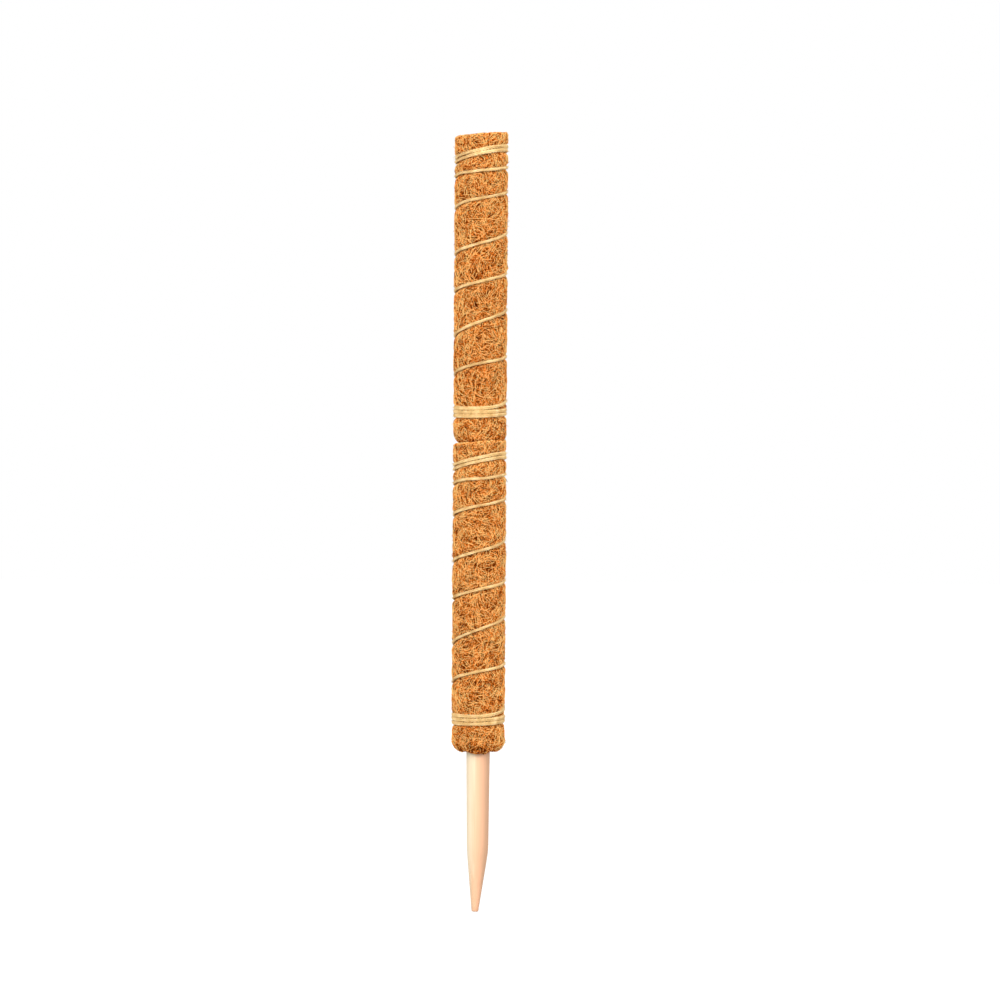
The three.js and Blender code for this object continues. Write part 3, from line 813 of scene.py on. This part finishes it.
def srgb(red, green, blue):
    """A linear colour from the 0 to 255 values that a picture shows."""
    shares = np.array([red, green, blue]) / 255
    linear = np.where(shares <= 0.04045, shares / 12.92, ((shares + 0.055) / 1.055) ** 2.4)
    return (*linear, 1)


def add_math(tree, operation, *values):
    """The result of an operation on numbers and outputs of other nodes."""
    node = tree.nodes.new("ShaderNodeMath")
    node.operation = operation
    for socket, value in zip(node.inputs, values):
        if isinstance(value, (int, float)):
            socket.default_value = value
        else:
            tree.links.new(value, socket)
    return node.outputs["Value"]


def add_blend(tree, first, second, first_share):
    rest = add_math(tree, "MULTIPLY", second, 1 - first_share)
    return add_math(tree, "MULTIPLY_ADD", first, first_share, rest)


def add_noise(tree, squeeze, scale, detail):
    """Noise fixed to the object, squeezed along each axis, or drawn out where the number is under 1."""
    coordinates = tree.nodes.new("ShaderNodeTexCoord")
    mapping = tree.nodes.new("ShaderNodeMapping")
    mapping.inputs["Scale"].default_value = squeeze
    noise = tree.nodes.new("ShaderNodeTexNoise")
    noise.inputs["Scale"].default_value = scale
    noise.inputs["Detail"].default_value = detail
    tree.links.new(coordinates.outputs["Object"], mapping.inputs["Vector"])
    tree.links.new(mapping.outputs["Vector"], noise.inputs["Vector"])
    return noise.outputs["Fac"]


def add_place(tree, axis, scale):
    """A coordinate in the object's own frame, times a scale."""
    coordinates = tree.nodes.new("ShaderNodeTexCoord")
    parts = tree.nodes.new("ShaderNodeSeparateXYZ")
    tree.links.new(coordinates.outputs["Object"], parts.inputs["Vector"])
    return add_math(tree, "MULTIPLY", parts.outputs[axis], scale)


def add_attribute(tree, name):
    node = tree.nodes.new("ShaderNodeAttribute")
    node.attribute_name = name
    return node.outputs["Fac"]


def add_colours(tree, value, stops):
    """Colours the material by a value, through colours at places from 0 to 1."""
    ramp = tree.nodes.new("ShaderNodeValToRGB")
    elements = ramp.color_ramp.elements
    while len(elements) < len(stops):
        elements.new(0.5)
    for element, (place, colour) in zip(elements, stops):
        element.position = place
        element.color = colour
    tree.links.new(value, ramp.inputs["Fac"])
    tree.links.new(ramp.outputs["Color"], tree.nodes["Principled BSDF"].inputs["Base Color"])


def add_bump(tree, height, strength, distance):
    bump = tree.nodes.new("ShaderNodeBump")
    bump.inputs["Strength"].default_value = strength
    bump.inputs["Distance"].default_value = distance
    tree.links.new(height, bump.inputs["Height"])
    tree.links.new(bump.outputs["Normal"], tree.nodes["Principled BSDF"].inputs["Normal"])


def coir_material():
    """Each fibre has its own tone, mottled along its length, from dark brown to pale straw; the tone also
    holds the painted shade of the deep layers and of the undersides.
    """
    material, tree = new_material("coir_fibre", roughness=0.8, specular=0.03)
    mottle = add_noise(tree, squeeze=(1, 1, 1), scale=1400, detail=2)
    shift = add_math(tree, "MULTIPLY_ADD", mottle, COIR_MOTTLE, -COIR_MOTTLE / 2)
    tone = add_math(tree, "ADD", add_attribute(tree, "tone"), shift)
    add_colours(tree, tone, (
        (0.0, srgb(96, 35, 0)),
        (0.3, srgb(200, 97, 22)),
        (0.58, srgb(255, 149, 58)),
        (0.82, srgb(255, 174, 85)),
        (1.0, srgb(255, 206, 127)),
    ))
    return material


def felt_material():
    """Matted coir deep in the sleeve, dark brown as painted shade under the fibres, and darker still in its
    hollows as painted shade.
    """
    material, tree = new_material("coir_felt", roughness=0.95, specular=0)
    mottle = add_noise(tree, squeeze=(1, 1, 1), scale=900, detail=4)
    hollow_shade = add_math(tree, "MULTIPLY", add_attribute(tree, "hollow_shade"), FELT_HOLLOW_PAINTED_SHADE)
    share = add_math(tree, "SUBTRACT", mottle, hollow_shade)
    # painted shade: dark browns for the felt, darkest in its hollows
    add_colours(tree, share, ((0.0, srgb(80, 32, 0)), (0.6, srgb(134, 62, 0))))
    add_bump(tree, mottle, strength=0.6, distance=0.4 * MM)
    return material


def twine_material():
    """Pale jute, finely streaked and banded."""
    material, tree = new_material("jute_twine", roughness=0.75, specular=0.2)
    streaks = add_noise(tree, squeeze=(1, 1, 2.2), scale=1500, detail=3)
    bands = add_noise(tree, squeeze=(1, 1, 1), scale=260, detail=1)
    add_colours(tree, add_blend(tree, streaks, bands, TWINE_STREAK_SHARE), (
        (0.3, srgb(200, 154, 90)),
        (0.5, srgb(236, 198, 135)),
        (0.7, srgb(250, 226, 174)),
    ))
    add_bump(tree, streaks, strength=0.5, distance=0.12 * MM)
    return material


def wood_material():
    """Smooth pale dowel with faint grain along its length, creamy on one side; the other side is pinker as
    its own tint and darker as painted shade, and the point darkens towards the tip as painted shade.
    """
    material, tree = new_material("stake_wood", roughness=0.55, specular=0.3)
    grain = add_noise(tree, squeeze=(1, 1, 0.03), scale=1400, detail=4)
    growth = add_noise(tree, squeeze=(1, 1, 0.05), scale=190, detail=2)
    share = add_blend(tree, grain, growth, WOOD_GRAIN_SHARE)
    # painted shade: darker towards one side and towards the tip, with a pinker tint on that side
    side_tint_and_shade = add_place(tree, "X", WOOD_SIDE_TINT_AND_PAINTED_SHADE / STAKE_RADIUS)
    tip_shade = add_place(tree, "Z", WOOD_TIP_PAINTED_SHADE / STAKE_LOW.z)
    place = add_math(tree, "ADD", side_tint_and_shade, tip_shade)
    add_colours(tree, add_math(tree, "MULTIPLY_ADD", share, WOOD_GRAIN_SHIFT, place), (
        (0.0, srgb(236, 216, 184)),
        (0.22, srgb(229, 187, 150)),
        (0.45, srgb(225, 172, 136)),
        (0.62, srgb(204, 160, 127)),
    ))
    add_bump(tree, grain, strength=0.2, distance=0.08 * MM)
    return material


def plastic_material():
    """Dull dark tube with fine drawing marks along its length."""
    material, tree = new_material("core_plastic", roughness=0.5, specular=0.4)
    marks = add_noise(tree, squeeze=(1, 1, 0.02), scale=1200, detail=3)
    add_colours(tree, marks, ((0.3, srgb(58, 54, 48)), (0.7, srgb(84, 79, 71))))
    add_bump(tree, marks, strength=0.2, distance=0.05 * MM)
    return material


# Assembly

def finish_piece(piece, material, body, height, node=None):
    piece.data.materials.append(material)
    piece.location.z = height
    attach(piece, body)
    if node:
        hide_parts(node)


def make_pole(prefix, pole_body, stake_body, height, seed, frayed_end, materials):
    rng = np.random.default_rng(seed)
    sleeve = Sleeve(rng, frayed_end)
    felt = make_felt(f"{prefix}_coir_felt", sleeve)
    finish_piece(felt, materials["felt"], pole_body, height, f"{prefix}_coir_mat")
    for layer in FIBRE_LAYERS:
        fibres = make_fibres(f"{prefix}_coir_fibres_{layer.name}", rng, sleeve, layer, frayed_end)
        finish_piece(fibres, materials["coir"], pole_body, height)
    twine = make_twine(f"{prefix}_jute_twine", rng)
    finish_piece(twine, materials["twine"], pole_body, height, f"{prefix}_twine")
    hairs = make_hairs(f"{prefix}_twine_hairs", rng)
    finish_piece(hairs, materials["twine"], pole_body, height)
    tube = make_tube(f"{prefix}_tube")
    finish_piece(tube, materials["plastic"], pole_body, height, f"{prefix}_core_tube")
    stake = make_stake(f"{prefix}_wooden_stake")
    finish_piece(stake, materials["wood"], stake_body, height, f"{prefix}_stake")


def make_poles():
    materials = {
        "coir": coir_material(),
        "felt": felt_material(),
        "twine": twine_material(),
        "wood": wood_material(),
        "plastic": plastic_material(),
    }
    make_pole("lower", "lower_pole", "lower_pole", 0, LOWER_SEED, "foot", materials)
    make_pole("upper", "upper_pole", "upper_stake", STACK_PITCH, UPPER_SEED, "rim", materials)


# Stage

def make_floor():
    mesh = bpy.data.meshes.new("floor")
    height = STAKE_LOW.z - FLOOR_GAP
    sides = ((-1, -1), (1, -1), (1, 1), (-1, 1))
    corners = [(x * FLOOR_REACH, y * FLOOR_REACH, height) for x, y in sides]
    mesh.from_pydata(corners, [], [(0, 1, 2, 3)])
    floor = add_object("floor", mesh)
    floor.data.materials.append(floor_material())


def seen_directly(tree):
    """1 for what the camera, a mirror or glass shows, and 0 for light that falls on the object."""
    path = tree.nodes.new("ShaderNodeLightPath")
    seen = add_math(tree, "MAXIMUM", path.outputs["Is Camera Ray"], path.outputs["Is Glossy Ray"])
    return add_math(tree, "MAXIMUM", seen, path.outputs["Is Transmission Ray"])


def floor_material():
    """Pale floor, mostly white to the eye but with the shadow left in it."""
    material = bpy.data.materials.new("pale_floor")
    material.use_nodes = True
    tree = material.node_tree
    tree.nodes.remove(tree.nodes["Principled BSDF"])
    matte = tree.nodes.new("ShaderNodeBsdfDiffuse")
    matte.inputs["Color"].default_value = (FLOOR_GREY, FLOOR_GREY, FLOOR_GREY, 1)
    glow = tree.nodes.new("ShaderNodeEmission")
    glow.inputs["Strength"].default_value = FLOOR_GLOW
    mix = tree.nodes.new("ShaderNodeMixShader")
    share = add_math(tree, "MULTIPLY", seen_directly(tree), FLOOR_GLOW_SHARE)
    tree.links.new(share, mix.inputs["Fac"])
    tree.links.new(matte.outputs["BSDF"], mix.inputs[1])
    tree.links.new(glow.outputs["Emission"], mix.inputs[2])
    tree.links.new(mix.outputs["Shader"], tree.nodes["Material Output"].inputs["Surface"])
    return material


def make_world():
    """White to the eye, and a little dimmer as light on the object."""
    world = bpy.data.worlds.new("studio")
    bpy.context.scene.world = world
    world.use_nodes = True
    tree = world.node_tree
    background = tree.nodes["Background"]
    background.inputs["Color"].default_value = (1, 1, 1, 1)
    strength = add_math(tree, "MULTIPLY_ADD", seen_directly(tree), 1 - AMBIENT, AMBIENT)
    tree.links.new(strength, background.inputs["Strength"])


def make_lamp(lamp):
    """A square lamp that faces the middle of the stacked poles."""
    light = bpy.data.lights.new(lamp.name, "AREA")
    light.size = lamp.size
    light.energy = lamp.power
    holder = add_object(lamp.name, light)
    holder.location = lamp.place
    aim = add_object(f"{lamp.name}_aim", None)
    aim.location = (0, 0, (STAKE_LOW.z + STACK_PITCH + RIM_HEIGHT) / 2)
    track = holder.constraints.new("TRACK_TO")
    track.target = aim
    track.track_axis = "TRACK_NEGATIVE_Z"
    track.up_axis = "UP_Y"


def make_camera():
    camera = bpy.data.cameras.new("camera")
    camera.sensor_width = SENSOR_WIDTH
    camera.lens = SENSOR_WIDTH * CAMERA_DISTANCE / PICTURE_WIDTH
    holder = add_object("camera", camera)
    pixel = PICTURE_WIDTH / PICTURE_PIXELS
    middle = (STAKE_LOW.z + STACK_PITCH + MAT_HIGH.z) / 2
    right = (PICTURE_PIXELS / 2 - POLE_MIDDLE_PIXEL[0]) * pixel
    above = (POLE_MIDDLE_PIXEL[1] - PICTURE_PIXELS / 2) * pixel
    holder.location = (right, -CAMERA_DISTANCE, middle + above)
    holder.rotation_euler = (math.pi / 2, -POLE_LEAN, 0)
    bpy.context.scene.camera = holder


def make_stage():
    bpy.context.scene.view_settings.view_transform = "Standard"
    make_camera()
    make_floor()
    make_world()
    for lamp in LAMPS:
        make_lamp(lamp)


make_stage()
make_poles()
